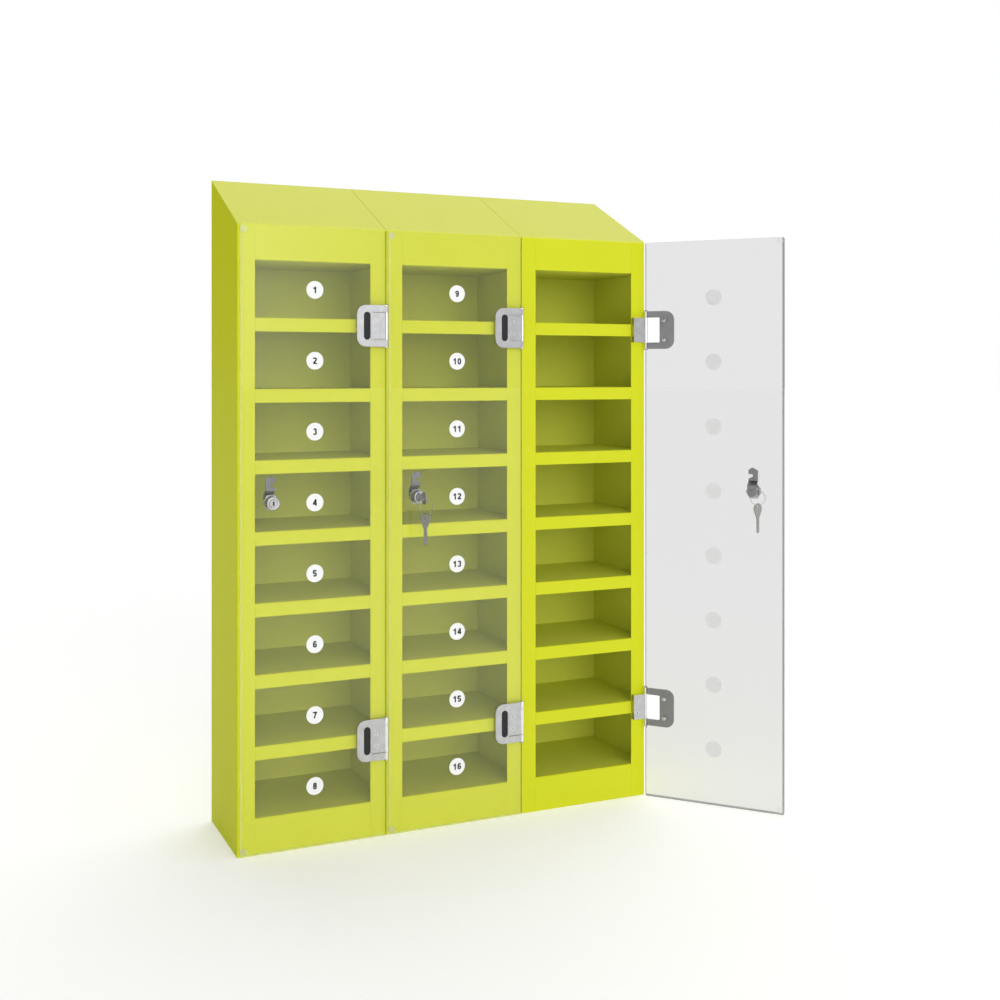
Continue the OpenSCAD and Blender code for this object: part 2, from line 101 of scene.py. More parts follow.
def moved(points, matrix):
    """Points carried by a 4 by 4 matrix."""
    turn = np.array(matrix.to_3x3())
    return points @ turn.T + np.array(matrix.translation)


def read(items, name, width, kind=float):
    """One attribute of a mesh's corners, edges or faces as an array with a row for each."""
    values = np.zeros(len(items) * width, dtype=kind)
    items.foreach_get(name, values)
    return values.reshape(-1, width)


def solids(node):
    """The separate solids of a CAD node, each as its corners: labels spread along edges until they settle."""
    mesh = frame["nodes"][node].data
    corners = np.round(read(mesh.vertices, "co", 3), 6)
    places, same = np.unique(corners, axis=0, return_inverse=True)
    ends = same.reshape(-1)[read(mesh.edges, "vertices", 2, np.int64)]
    label = np.arange(len(places))
    while True:
        low = label[ends].min(axis=1)
        lower = label.copy()
        np.minimum.at(lower, ends[:, 0], low)
        np.minimum.at(lower, ends[:, 1], low)
        lower = lower[lower]
        if np.array_equal(lower, label):
            break
        label = lower
    found = [places[label == name] for name in np.unique(label)]
    return sorted(found, key=lambda part: (-round(part[:, 2].mean(), 4), part[:, 0].mean()))


def closed_boxes(node, door):
    """Lowest and highest corner of each solid of a node, on the door as it stands when closed."""
    back = door_place(door).inverted()
    closed = [moved(part, back) for part in solids(node)]
    return [(part.min(axis=0), part.max(axis=0)) for part in closed]


def seat(low, high, depth):
    """Middle of a box as the closed door shows it from the front, at a depth."""
    return np.array([(low[0] + high[0]) / 2, depth, (low[2] + high[2]) / 2])


# Surfaces

# Edges of a new piece that are shorter than this are dropped, and corners nearer than the others are one: in a
# new piece, where a sheet is cut, and in a CAD node's loose triangles
SPECK, WELD, CUT_WELD, CAD_WELD = 1e-8, 1e-7, 1e-6, 2e-6

# Angles in degrees of a copied node: up to which two faces count as one, and past which an edge is hard or is
# rounded; and the share of area in the shading of its flat faces
FLAT_ANGLE, HARD_ANGLE, ROUNDED_ANGLE = 0.5, 30, 35
AREA_WEIGHT = 100


@contextlib.contextmanager
def edited(mesh):
    """The mesh opened for bmesh, and written back at the end."""
    work = bmesh.new()
    work.from_mesh(mesh)
    yield work
    work.to_mesh(mesh)
    work.free()


def linked(name, mesh, material, hard):
    """Object at the origin with one material, shaded smooth but for edges of more than so many degrees."""
    mesh.shade_smooth()
    mesh.set_sharp_from_angle(angle=math.radians(hard))
    mesh.materials.clear()
    mesh.materials.append(material)
    piece = bpy.data.objects.new(name, mesh)
    bpy.context.scene.collection.objects.link(piece)
    return piece


def mesh_object(name, vertices, faces, material, hard=40):
    """Object from corners and faces, doubles merged, faces outwards."""
    mesh = bpy.data.meshes.new(name)
    mesh.from_pydata(vertices.tolist(), [], faces.tolist() if isinstance(faces, np.ndarray) else faces)
    with edited(mesh) as work:
        bmesh.ops.remove_doubles(work, verts=work.verts, dist=WELD)
        bmesh.ops.dissolve_degenerate(work, edges=work.edges, dist=SPECK)
        bmesh.ops.recalc_face_normals(work, faces=work.faces)
    return linked(name, mesh, material, hard)


def grid_faces(rows, columns, around=False, along=False):
    """Quads of a grid of rows by columns; around joins the last column to the first, along the last row."""
    row = np.arange(rows if along else rows - 1)
    column = np.arange(columns if around else columns - 1)
    r, c = np.meshgrid(row, column, indexing="ij")
    r2 = (r + 1) % rows
    c2 = (c + 1) % columns
    quads = [r * columns + c, r * columns + c2, r2 * columns + c2, r2 * columns + c]
    return np.stack(quads, axis=-1).reshape(-1, 4)


def turned_grid(profile, steps, radius=None):
    """Corners of a surface of revolution about local Z: each (r, h) of the profile swept round in steps.

    radius, if given, takes (r, h, angle) arrays and gives the true radius, for threads and flats.
    """
    profile = np.asarray(profile, dtype=float)
    angle = np.linspace(0, 2 * math.pi, steps, endpoint=False)
    r, a = np.meshgrid(profile[:, 0], angle, indexing="ij")
    h = np.repeat(profile[:, 1:2], steps, axis=1)
    if radius is not None:
        r = radius(r, h, a)
    return np.stack([r * np.cos(a), r * np.sin(a), h], axis=-1).reshape(-1, 3)


def swept_tube(path, radius, sides):
    """Closed round tube along a path of points: a ring of sides square to the path at each point."""
    path = np.asarray(path, dtype=float)
    tangent = np.gradient(path, axis=0)
    tangent /= np.linalg.norm(tangent, axis=1, keepdims=True)
    across = np.cross(tangent, np.array([0.0, 1.0, 0.0]))
    across /= np.linalg.norm(across, axis=1, keepdims=True)
    other = np.cross(tangent, across)
    a = np.linspace(0, 2 * math.pi, sides, endpoint=False)
    ring = across[:, None, :] * np.cos(a)[None, :, None] + other[:, None, :] * np.sin(a)[None, :, None]
    corners = (path[:, None, :] + radius * ring).reshape(-1, 3)
    faces = grid_faces(len(path), sides, around=True).tolist()
    faces.append(list(range(sides))[::-1])
    faces.append([(len(path) - 1) * sides + k for k in range(sides)])
    return corners, faces


def facing(point, direction, matrix):
    """Matrix that stands local Z along a direction at a point of the closed door, then opens the door."""
    turn = Vector(direction).to_track_quat("Z", "Y").to_matrix().to_4x4()
    return matrix @ Matrix.Translation(Vector(point)) @ turn


def joined(parts):
    """Several (corners, faces) pairs as one pair."""
    corners, faces, start = [], [], 0
    for part_corners, part_faces in parts:
        corners.append(part_corners)
        faces.extend([[index + start for index in face] for face in np.asarray(part_faces, dtype=object).tolist()])
        start += len(part_corners)
    return np.concatenate(corners), faces


def softened_copy(node, name, material, width, segments=2):
    """Copy of a CAD node with its doubles merged and its edges rounded by a bevel; it stands for the node."""
    mesh = frame["nodes"][node].data.copy()
    with edited(mesh) as work:
        bmesh.ops.remove_doubles(work, verts=work.verts, dist=CAD_WELD)
        bmesh.ops.dissolve_limit(work, angle_limit=math.radians(FLAT_ANGLE), verts=work.verts, edges=work.edges)
    piece = linked(name, mesh, material, HARD_ANGLE)
    bevel = piece.modifiers.new("Rounded edges", "BEVEL")
    bevel.width = width
    bevel.segments = segments
    bevel.limit_method = "ANGLE"
    bevel.angle_limit = math.radians(ROUNDED_ANGLE)
    flat = piece.modifiers.new("Flat faces", "WEIGHTED_NORMAL")
    flat.weight = AREA_WEIGHT
    flat.keep_sharp = True
    return stands_for(piece, body_of(frame["nodes"][node])[0], node)


def stands_for(piece, body, node):
    """Puts a finished piece on its body in place of a CAD node, which it hides."""
    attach(piece, body)
    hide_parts(node)
    return piece


# Shader groups

# Noise in the finishes, in features per metre, the share of the finest in the coat's skin, and bump depths
COAT_PATCHES, COAT_GLOSS, COAT_FINE, COAT_FINE_SHARE, COAT_DEPTH = 7.0, 38.0, 1900.0, 0.25, 0.0004
METAL_CLOUDS, METAL_DEPTH = 90.0, 0.00015
PLASTIC_PATCHES, PLASTIC_DEPTH = 60.0, 0.0002

# Widths over which the painted haze sets in at the front and ends at the sheets, and over which the painted shade
# of a film's back sets in
FRONT_FADE, SHEET_FADE, FILM_FADE = 0.006, 0.0004, 0.00005

# Refraction of the clear sheets
CLEAR_IOR = 1.49


def new_group(name, inputs):
    """Shader group that puts out a colour, a roughness and a normal, with an input for each default given.

    Comes with the sockets of its inputs and of the place on the object.
    """
    group = bpy.data.node_groups.new(name, "ShaderNodeTree")
    kinds = {0: "NodeSocketFloat", 3: "NodeSocketVector", 4: "NodeSocketColor"}
    for label, default in inputs.items():
        kind = kinds[len(default) if isinstance(default, tuple) else 0]
        group.interface.new_socket(label, in_out="INPUT", socket_type=kind).default_value = default
    for label, size in (("Colour", 4), ("Roughness", 0), ("Normal", 3)):
        group.interface.new_socket(label, in_out="OUTPUT", socket_type=kinds[size])
    given = group.nodes.new("NodeGroupInput").outputs
    return group, given, group.nodes.new("ShaderNodeTexCoord").outputs["Object"]


def put(tree, socket, value):
    """Sets a socket to a plain value, or links another node's socket to it."""
    if isinstance(value, bpy.types.NodeSocket):
        tree.links.new(value, socket)
    else:
        socket.default_value = value


def feed(tree, node, **values):
    """Puts values into a node's inputs by their names, with _ for a space."""
    for label, value in values.items():
        put(tree, node.inputs[label.replace("_", " ")], value)


def noise(tree, place, scale, detail, roughness=0.5):
    """Cloudy value from 0 to 1 at a place."""
    node = tree.nodes.new("ShaderNodeTexNoise")
    feed(tree, node, Vector=place, Scale=scale, Detail=detail, Roughness=roughness)
    return node.outputs["Fac"]


def ranged(tree, value, low, high, start=0.0, full=1.0, blend="LINEAR"):
    """Low up to where a value is at start, high from where it is at full, and a steady or soft blend between."""
    node = tree.nodes.new("ShaderNodeMapRange")
    node.interpolation_type = blend
    feed(tree, node, Value=value, From_Min=start, From_Max=full, To_Min=low, To_Max=high)
    return node.outputs["Result"]


def mixed(tree, share, first, second, kind="RGBA"):
    """Colour or number between two by a share."""
    node = tree.nodes.new("ShaderNodeMix")
    node.data_type = kind
    feed(tree, node, Factor=share, A=first, B=second)
    return node.outputs["Result"]


def maths(tree, operation, first, second, kind="ShaderNodeMath", result="Value"):
    """Result of a sum, on numbers or on vectors."""
    node = tree.nodes.new(kind)
    node.operation = operation
    for socket, value in zip(node.inputs, (first, second)):
        put(tree, socket, value)
    return node.outputs[result]


def past(tree, value, edge, width):
    """0 before an edge and 1 past it, over a width; a negative width turns it round."""
    return ranged(tree, maths(tree, "SUBTRACT", value, edge), 0.0, 1.0, 0.0, width)


def inside_mask(tree, where, given):
    """1 on the surfaces within the compartments, 0 outside, from the box that the group's inputs give: where the
    haze is painted.
    """
    place = tree.nodes.new("ShaderNodeSeparateXYZ")
    tree.links.new(where, place.inputs[0])
    across = maths(tree, "ABSOLUTE", place.outputs["X"], 0.0)
    share = past(tree, place.outputs["Y"], given["Front"], FRONT_FADE)
    for value, edge in ((place.outputs["Y"], "Back"), (across, "Half Width"), (place.outputs["Z"], "Top")):
        share = maths(tree, "MULTIPLY", share, past(tree, value, given[edge], -SHEET_FADE))
    return share


def put_out(group, given, colour, gloss, height, strength, depth):
    """Ends a group: colour, roughness by the gloss from low to high, and a normal raised by the height."""
    skin = group.nodes.new("ShaderNodeBump")
    feed(group, skin, Strength=given[strength], Distance=depth, Height=height)
    rough = ranged(group, gloss, given["Roughness Low"], given["Roughness High"])
    feed(group, group.nodes.new("NodeGroupOutput"), Colour=colour, Roughness=rough, Normal=skin.outputs["Normal"])
    return group


def orange_peel_group():
    """Powder coat: a fine pebbled skin, with pale and deep patches and small changes of gloss.

    Inside the compartments, past the front and within the side walls, the coat is painted paler and greyer,
    a painted haze that stands in for the light reflected there.
    """
    group, given, where = new_group("Orange Peel", {
        "Colour": (0.7, 0.8, 0.05, 1), "Deep Colour": (0.6, 0.7, 0.04, 1), "Haze Colour": (0.7, 0.8, 0.1, 1),
        "Front": -0.09, "Back": 0.09, "Half Width": 0.375, "Top": 1.0,
        "Grain Scale": 420.0, "Grain Strength": 0.15, "Roughness Low": 0.36, "Roughness High": 0.46})
    patches = noise(group, where, COAT_PATCHES, detail=3.0)
    grain = noise(group, where, given["Grain Scale"], detail=1.5)
    fine = noise(group, where, COAT_FINE, detail=1.0)
    gloss = noise(group, where, COAT_GLOSS, detail=2.0)
    outside = mixed(group, patches, given["Colour"], given["Deep Colour"])
    # Painted haze: inside the compartments the colour turns paler and greyer, for the light reflected there
    colour = mixed(group, inside_mask(group, where, given), outside, given["Haze Colour"])
    skin = maths(group, "ADD", grain, maths(group, "MULTIPLY", fine, COAT_FINE_SHARE))
    return put_out(group, given, colour, gloss, skin, "Grain Strength", COAT_DEPTH)


def brushed_group():
    """Satin metal: fine lines drawn along one axis, with cloudy tone and a few handling marks."""
    group, given, where = new_group("Brushed Metal", {
        "Colour": (0.6, 0.6, 0.61, 1), "Dull Colour": (0.45, 0.45, 0.46, 1), "Stretch": (1.0, 1.0, 1.0),
        "Line Strength": 0.2, "Roughness Low": 0.25, "Roughness High": 0.42})
    scaled = maths(group, "MULTIPLY", where, given["Stretch"], "ShaderNodeVectorMath", "Vector")
    lines = noise(group, scaled, 1.0, detail=4.0, roughness=0.65)
    clouds = noise(group, where, METAL_CLOUDS, detail=3.0)
    colour = mixed(group, clouds, given["Colour"], given["Dull Colour"])
    return put_out(group, given, colour, lines, lines, "Line Strength", METAL_DEPTH)


def moulded_group():
    """Moulded or printed plastic: a fine even texture with faint tone and gloss changes.

    Where the place measured along Side is past Side Edge, it shows its back's colour, painted darker as shade.
    """
    group, given, where = new_group("Moulded Plastic", {
        "Colour": (0.8, 0.8, 0.8, 1), "Worn Colour": (0.75, 0.75, 0.75, 1), "Back Shade Colour": (0.8, 0.8, 0.8, 1),
        "Side": (0.0, 0.0, 0.0), "Side Edge": 1.0, "Grain Scale": 900.0, "Grain Strength": 0.1,
        "Roughness Low": 0.4, "Roughness High": 0.55})
    patches = noise(group, where, PLASTIC_PATCHES, detail=3.0)
    grain = noise(group, where, given["Grain Scale"], detail=1.5)
    along = maths(group, "DOT_PRODUCT", where, given["Side"], "ShaderNodeVectorMath")
    faced = mixed(group, patches, given["Colour"], given["Worn Colour"])
    colour = mixed(group, past(group, along, given["Side Edge"], FILM_FADE), faced, given["Back Shade Colour"])
    return put_out(group, given, colour, patches, grain, "Grain Strength", PLASTIC_DEPTH)


GROUPS = {"Orange Peel": orange_peel_group, "Brushed Metal": brushed_group, "Moulded Plastic": moulded_group}


def finished_material(name, group_name, values, **shader_values):
    """Material whose Principled shader takes colour, roughness and normal from a shader group.

    The group is built at its first use.
    """
    material = bpy.data.materials.new(name)
    material.use_nodes = True
    tree = material.node_tree
    shader = tree.nodes["Principled BSDF"]
    group = tree.nodes.new("ShaderNodeGroup")
    group.node_tree = bpy.data.node_groups.get(group_name) or GROUPS[group_name]()
    for label, value in values.items():
        group.inputs[label].default_value = value
    for label, socket in (("Colour", "Base Color"), ("Roughness", "Roughness"), ("Normal", "Normal")):
        tree.links.new(group.outputs[label], shader.inputs[socket])
    feed(tree, shader, **shader_values)
    return material


def metal(name, bright, dull, across, along, lines, low, high):
    """Brushed metal with dull clouds; its lines change so often in a metre across, over X and Y, and along Z."""
    return finished_material(
        name, "Brushed Metal",
        {"Colour": (*bright, 1), "Dull Colour": (*dull, 1), "Stretch": (across, across, along),
         "Line Strength": lines, "Roughness Low": low, "Roughness High": high}, Metallic=1.0)


def plastic(name, colour, worn, grain, low, high, shine=0.5, cover=1.0, back=None):
    """Moulded plastic with worn patches; back holds the values of its other side, if that differs."""
    return finished_material(
        name, "Moulded Plastic",
        {"Colour": (*colour, 1), "Worn Colour": (*worn, 1), "Grain Strength": grain, "Roughness Low": low,
         "Roughness High": high, **(back or {})}, Specular_IOR_Level=shine, Alpha=cover)


def clear_material(name, tint, passed, roughness):
    """Clear sheet: glass for the eye, but for lamps plainly see-through by a share, to light what is behind."""
    material = bpy.data.materials.new(name)
    material.use_nodes = True
    tree = material.node_tree
    shader = tree.nodes["Principled BSDF"]
    feed(tree, shader, Base_Color=(*tint, 1), Roughness=roughness, IOR=CLEAR_IOR, Transmission_Weight=1.0)
    open_way = tree.nodes.new("ShaderNodeBsdfTransparent")
    feed(tree, open_way, Color=(passed, passed, passed, 1))
    path = tree.nodes.new("ShaderNodeLightPath").outputs
    lamps = maths(tree, "MAXIMUM", path["Is Shadow Ray"], path["Is Diffuse Ray"])
    mix = tree.nodes.new("ShaderNodeMixShader")
    for socket, value in zip(mix.inputs, (lamps, shader.outputs["BSDF"], open_way.outputs["BSDF"])):
        put(tree, socket, value)
    tree.links.new(mix.outputs["Shader"], tree.nodes["Material Output"].inputs["Surface"])
    return material


def repaint(prefixes, material):
    """Gives a finish to every CAD node whose name starts with a prefix, or with one of several."""
    for name, node in frame["nodes"].items():
        if name.startswith(prefixes):
            node.data.materials.clear()
            node.data.materials.append(material)


# Settings


def shade(name, description, default):
    """Setting that holds a colour."""
    return bpy.props.FloatVectorProperty(
        name=name, description=description, default=default, subtype="COLOR", size=3, min=0, max=1)


def measure(name, description, default, low, high):
    """Setting that holds a length in metres."""
    return bpy.props.FloatProperty(
        name=name, description=description, default=default, min=low, max=high, subtype="DISTANCE", unit="LENGTH")


def amount(name, description, default, low, high):
    """Setting that holds a plain number."""
    return bpy.props.FloatProperty(name=name, description=description, default=default, min=low, max=high)


class FinishSettings(bpy.types.PropertyGroup):
    """Colours of the locker's finishes"""

    coat: shade("Powder coat", "Colour of the sheet steel", (0.665, 0.705, 0.022))
    coat_deep: shade("Powder coat, deep", "Colour of its deeper patches", (0.635, 0.675, 0.020))
    # Painted haze: a paler, greyer coat inside the compartments, for the light reflected there
    coat_thin: shade("Powder coat, painted haze", "Paler, greyer colour painted inside the compartments as haze", (0.685, 0.72, 0.092))
    # Painted sheen: the sloping top is painted paler than the rest of the coat, for the sky's light on it
    coat_top: shade("Powder coat, top sheen", "Colour of the sloping top, painted paler as sheen", (0.71, 0.745, 0.085))
    satin: shade("Satin metal", "Colour of the hinge leaves", (0.64, 0.64, 0.65))
    satin_dull: shade("Satin metal, dull", "Colour of its dull patches", (0.42, 0.42, 0.43))
    # Painted shade: the leaves' side towards the cabinet is a darker copy of the satin metal
    satin_back: shade("Satin metal, back shade", "Colour of the leaves' side towards the cabinet", (0.33, 0.33, 0.335))
    # Partly painted highlight: the barrels are polished, and painted brighter than the leaves for the highlight on
    # them
    barrel: shade("Barrels", "Colour of the polished hinge barrels", (0.90, 0.90, 0.91))
    plated: shade("Plated metal", "Colour of the locks", (0.56, 0.56, 0.56))
    sheet_tint: shade("Clear sheet", "Tint of the door sheets", (0.985, 0.987, 0.987))
    # Painted edges: the dark tint is painted shade of the sheet's edge, the pale colour a painted reflection of
    # the steel
    edge_tint: shade("Sheet edge", "Tint of the sheets' polished edges", (0.40, 0.41, 0.41))
    edge_pale: shade("Sheet edge, pale", "Colour of edges that rest in front of the steel", (0.76, 0.79, 0.44))


class PieceSettings(bpy.types.PropertyGroup):
    """Sizes of the fine pieces"""

    digit_height: measure("Digit height", "Height of a number on its disc", 0.0106, 0.004, 0.016)
    thread_pitch: measure("Thread pitch", "Pitch of the thread on a lock's body", 0.001, 0.0006, 0.002)
    thread_depth: measure("Thread depth", "Depth of that thread", 0.00045, 0.0002, 0.001)
    metal_round: measure("Metal edge radius", "Rounding of cast and stamped edges", 0.0005, 0.0001, 0.001)
    ring_lead: measure("Split ring lead", "How far a split ring's two turns lie apart", 0.0008, 0.0004, 0.002)


class StageSettings(bpy.types.PropertyGroup):
    """Camera and light"""

    camera_place: bpy.props.FloatVectorProperty(
        name="Camera place", description="Where the camera stands", subtype="XYZ", unit="LENGTH", size=3,
        default=(-0.8525, -2.0228, 0.7640))
    camera_yaw: bpy.props.FloatProperty(
        name="Camera turn", description="Turn of the camera towards +X from straight ahead", subtype="ANGLE",
        unit="ROTATION", default=math.radians(23.46))
    lens: amount("Lens", "Focal length on a 36 mm sensor, in millimetres", 44.91, 20, 100)
    shift_x: amount("Shift across", "Sideways shift of the lens", 0.0522, -0.5, 0.5)
    shift_y: amount("Shift up", "Upward shift of the lens", -0.1272, -0.5, 0.5)
    sky_dim: amount("Dim sky", "Light from the back left of the sky", 0.06, 0, 5)
    sky_bright: amount("Bright sky", "Light from the front right of the sky", 0.56, 0, 5)
    floor_lift: amount("Floor lift", "How much the floor is lifted towards white", 0.29, 0, 1)
    floor_lift_glass: amount(
        "Floor lift behind glass", "The same where it is seen through a clear sheet", 0.045, 0, 1)
    behind_glass: amount(
        "Dimmed behind glass", "How much darker the backdrop looks through a clear sheet", 0.18, 0, 1)
    lamp: amount("Lamp power", "Power of the large soft lamp", 5.0, 0, 500)


# Pieces

# How far behind the front the painted haze starts, and half the thickness of the sheet steel
INSIDE_FROM, SHEET_HALF = 0.002, 0.0005

# Edge rounding: of sheets, covers, plugs and keys, of the nuts, and of the cams as a share of the metal's
SMALL_ROUND, NUT_ROUND, CAM_ROUND_SHARE = 0.0003, 0.0004, 0.6

# Width of the band along a clear sheet's free side and foot, and along its hinge side, and how far its
# broad sides are drawn in
EDGE_BAND, HINGE_BAND, HAIR = 0.0032, 0.0011, 0.00003

# Material slots of a clear sheet, and the most of its own direction that the normal of an edge face has
# The dark edge slot is painted shade, the pale one a painted reflection of the steel behind the edge
BROAD, SHADED_EDGE, STEEL_REFLECTION_EDGE = 0, 1, 2
EDGE_NORMAL = 0.5

# Bumper: share of its height that its straight side takes, points along its crown, and steps round it
DOME_SIDE, CROWN_POINTS, DOME_STEPS = 0.3, 9, 32

# Figures one unit high: width, pitch from one to the next and stroke; points along an arc, and how round it is
# at its corners, 1 for an ellipse
FIGURE_WIDE, FIGURE_PITCH, FIGURE_STROKE = 0.64, 0.79, 0.225
ARC_POINTS, ARC_ROUND = 28, 0.88

# Height of the print above the disc in figure heights, and how far each stroke stands over the one before
PRINT_LOW, PRINT_STEP = 0.005, 0.00001

# Distance from a hinge axis that takes in the middle of every face of the barrel, and of no other; the least
# part towards the cabinet of a back face's normal, painted darker as shade; and the material slots of the leaves
BARREL_REACH, BACKWARD = 0.0036, 0.7
LEAF, LEAF_BACK_SHADE, BARREL = 0, 1, 2

# Screw heads: steps round and rings of the top; in shares of the head's radius, the radius of the top and the
# drop of the rim, and the depth of the cross
HEAD_STEPS, HEAD_RINGS = 48, 16
TOP_SHARE, RIM_SHARE, CROSS_DEPTH = 0.94, 0.06, 0.45

# Cross in shares of the top's radius: half width of an arm, its reach, and the length of the slope at its end;
# the share of an arm's half width that slopes, and how much shallower the cross gets outwards
ARM_HALF, ARM_REACH, ARM_END = 0.16, 0.62, 0.2
ARM_SLOPE, CROSS_RISE = 0.5, 0.4

# Pan heads behind the door leaves: height, and shank as a share of the head
PAN_HEIGHT, PAN_SHANK = 0.0011, 0.57

# Lock body: radius over the thread, half the width across its flats, and its play against the plug and the cam
BODY_RADIUS, HALF_FLATS = 0.0095, 0.008
BORE_PLAY, END_PLAY = 0.00005, 0.0001

# Its head: profile of the mouth, out from the bore and back from the front; radius and points of the rounding,
# and edge at the sheet
MOUTH = ((0.0, 0.0006), (0.0005, 0.0001), (0.0011, 0.0))
HEAD_ROUND, HEAD_POINTS, HEAD_EDGE = 0.0012, 6, 0.0003

# Its thread: where it starts behind the head, how far it ends before the tip, which is narrower by as much,
# rings in each turn, steps round, and less than the space from the head or the tip to the nearest ring
THREAD_START, THREAD_END = 0.0004, 0.0008
TURN_RINGS, BODY_STEPS = 6, 72
NEAR = 0.0001

# Split ring: radius of its wire as a share of the CAD ring's, points along it and sides of the wire; in
# radians, the gap left open at its end, where its turns start, and over how much they cross
WIRE_SHARE, WIRE_POINTS, WIRE_SIDES = 0.5, 150, 12
RING_GAP, RING_START, RING_CROSS = 0.25, 0.9, 1.0


class LOCKER_OT_coat_carcass(bpy.types.Operator):
    """Coats the carcass sheets in powder paint with a fine orange peel"""

    bl_idname = "locker.coat_carcass"
    bl_label = "Coat Carcass"

    def execute(self, context):
        look = context.scene.locker_finish
        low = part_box("side_left_1")[0]
        places = {"Front": low[1] + INSIDE_FROM, "Back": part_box("back_panel")[1][1] - SHEET_HALF,
                  "Half Width": -low[0] - SHEET_HALF, "Top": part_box("header_tray_1")[1][2] - SHEET_HALF}
        outer = ("side_left_1", f"side_right_{COLUMNS}")
        for name, main, deep, shine, nodes in (
                ("Powder Coat", look.coat, look.coat_deep, 0.1,
                 ("side_left", "side_right", "header_tray", "floor_tray", "shelves", "back_panel", "base_panels")),
                ("Powder Coat Side", look.coat, look.coat_deep, 0.02, outer),
                # The sloping top takes a paler colour, a painted sheen
                ("Powder Coat Top Sheen", look.coat_top, look.coat_top, 0.1, ("sloping_top",))):
            # The haze colour is a painted haze of reflected light inside the compartments
            coat = finished_material(
                name, "Orange Peel",
                {"Colour": (*main, 1), "Deep Colour": (*deep, 1), "Haze Colour": (*look.coat_thin, 1), **places,
                 "Grain Scale": 420.0, "Grain Strength": 0.12, "Roughness Low": 0.38, "Roughness High": 0.48},
                Specular_IOR_Level=shine)
            repaint(nodes, coat)
        return {"FINISHED"}


class LOCKER_OT_clear_doors(bpy.types.Operator):
    """Makes the door sheets clear with dark or pale edges, and rounds the bumpers at their free corners"""

    bl_idname = "locker.clear_doors"
    bl_label = "Clear Doors"

    def execute(self, context):
        look = context.scene.locker_finish
        sheet = clear_material("Clear Sheet", look.sheet_tint, passed=0.995, roughness=0.0)
        # Edge bands: dark as painted shade, pale with the steel's colour as a painted reflection
        edge = clear_material("Polished Edge Shade", look.edge_tint, passed=0.8, roughness=0.1)
        pale = plastic("Steel Reflection Edge", look.edge_pale, look.edge_pale, grain=0.01, low=0.3, high=0.4, shine=0.15,
                       cover=0.22)
        soft = plastic("Clear Bumper", (0.80, 0.82, 0.80), (0.74, 0.76, 0.74), grain=0.03, low=0.12, high=0.2,
                       cover=0.17)
        for door in DOORS:
            pane = softened_copy(f"door_pane_{door}", f"clear_sheet_{door}", sheet, SMALL_ROUND)
            self.mark_edges(pane, door, edge, pale)
            parts = [self.dome(low, high, door) for low, high in closed_boxes(f"door_bumpers_{door}", door)]
            piece = mesh_object(f"bumper_domes_{door}", *joined(parts), soft, hard=60)
            stands_for(piece, f"door_{door}", f"door_bumpers_{door}")
        return {"FINISHED"}

    def mark_edges(self, pane, door, edge, pale):
        """Gives an edge finish to the edge faces and to a band along the sides and the foot.

        The band stands for the edge that shows through the thickness of a real sheet. At the free side and foot of
        a sheet that rests in front of the steel it is pale, a painted reflection of the steel's colour; elsewhere
        it is dark, a painted shade, which at the hinge side of a closed door also stands for the shadow in the gap
        between doors. The broad sides are drawn in by a hair, so that they don't coincide with the discs and
        leaves that lie on them.
        """
        pane.data.materials.append(edge)
        pane.data.materials.append(pale)
        free = SHADED_EDGE if JOINTS[f"door_{door}_hinge"]["range_deg"][0] < 0 else STEEL_REFLECTION_EDGE
        opened = door_place(door)
        out = opened.to_3x3() @ Vector((0, 1, 0))
        low, high = closed_boxes(f"door_pane_{door}", door)[0]
        cuts = (((low[0] + EDGE_BAND, 0, 0), (1, 0, 0)), ((high[0] - HINGE_BAND, 0, 0), (-1, 0, 0)),
                ((0, 0, low[2] + EDGE_BAND), (0, 0, 1)))
        planes = [(opened @ Vector(place), opened.to_3x3() @ Vector(inward)) for place, inward in cuts]
        middle = opened @ Vector((low + high) / 2)
        with edited(pane.data) as work:
            for place, inward in planes:
                bmesh.ops.bisect_plane(work, geom=work.verts[:] + work.edges[:] + work.faces[:], plane_co=place,
                                       plane_no=inward, dist=CUT_WELD)
            for corner in work.verts:
                corner.co -= out * math.copysign(HAIR, (corner.co - middle).dot(out))
            work.normal_update()
            for face in work.faces:
                centre = face.calc_center_median()
                left, right, foot = [(centre - place).dot(inward) < 0 for place, inward in planes]
                at_edge = left or foot or abs(face.normal.dot(out)) < EDGE_NORMAL
                face.material_index = SHADED_EDGE if right else free if at_edge else BROAD

    def dome(self, low, high, door):
        """Stuck flat to the sheet, with a short straight side and a crown that is a quarter of an ellipse."""
        radius = (high[0] - low[0]) / 2
        height = high[1] - low[1]
        side = height * DOME_SIDE
        turn = np.linspace(0, math.pi / 2, CROWN_POINTS)
        crown = np.stack([radius * np.cos(turn), side + (height - side) * np.sin(turn)], axis=-1)
        crown[-1, 0] = 0
        profile = np.vstack([[0, 0], [radius, 0], crown])
        place = facing(seat(low, high, low[1]), (0, 1, 0), door_place(door))
        return moved(turned_grid(profile, DOME_STEPS), place), grid_faces(len(profile), DOME_STEPS, around=True)


def arc(middle, across, tall, start, end):
    """Points of an ellipse from one angle to another, in degrees, drawn out a little towards its corners."""
    a = np.radians(np.linspace(start, end, ARC_POINTS))
    squared = [np.sign(f) * np.abs(f) ** ARC_ROUND for f in (np.cos(a), np.sin(a))]
    return np.stack([middle[0] + across * squared[0], middle[1] + tall * squared[1]], axis=-1)


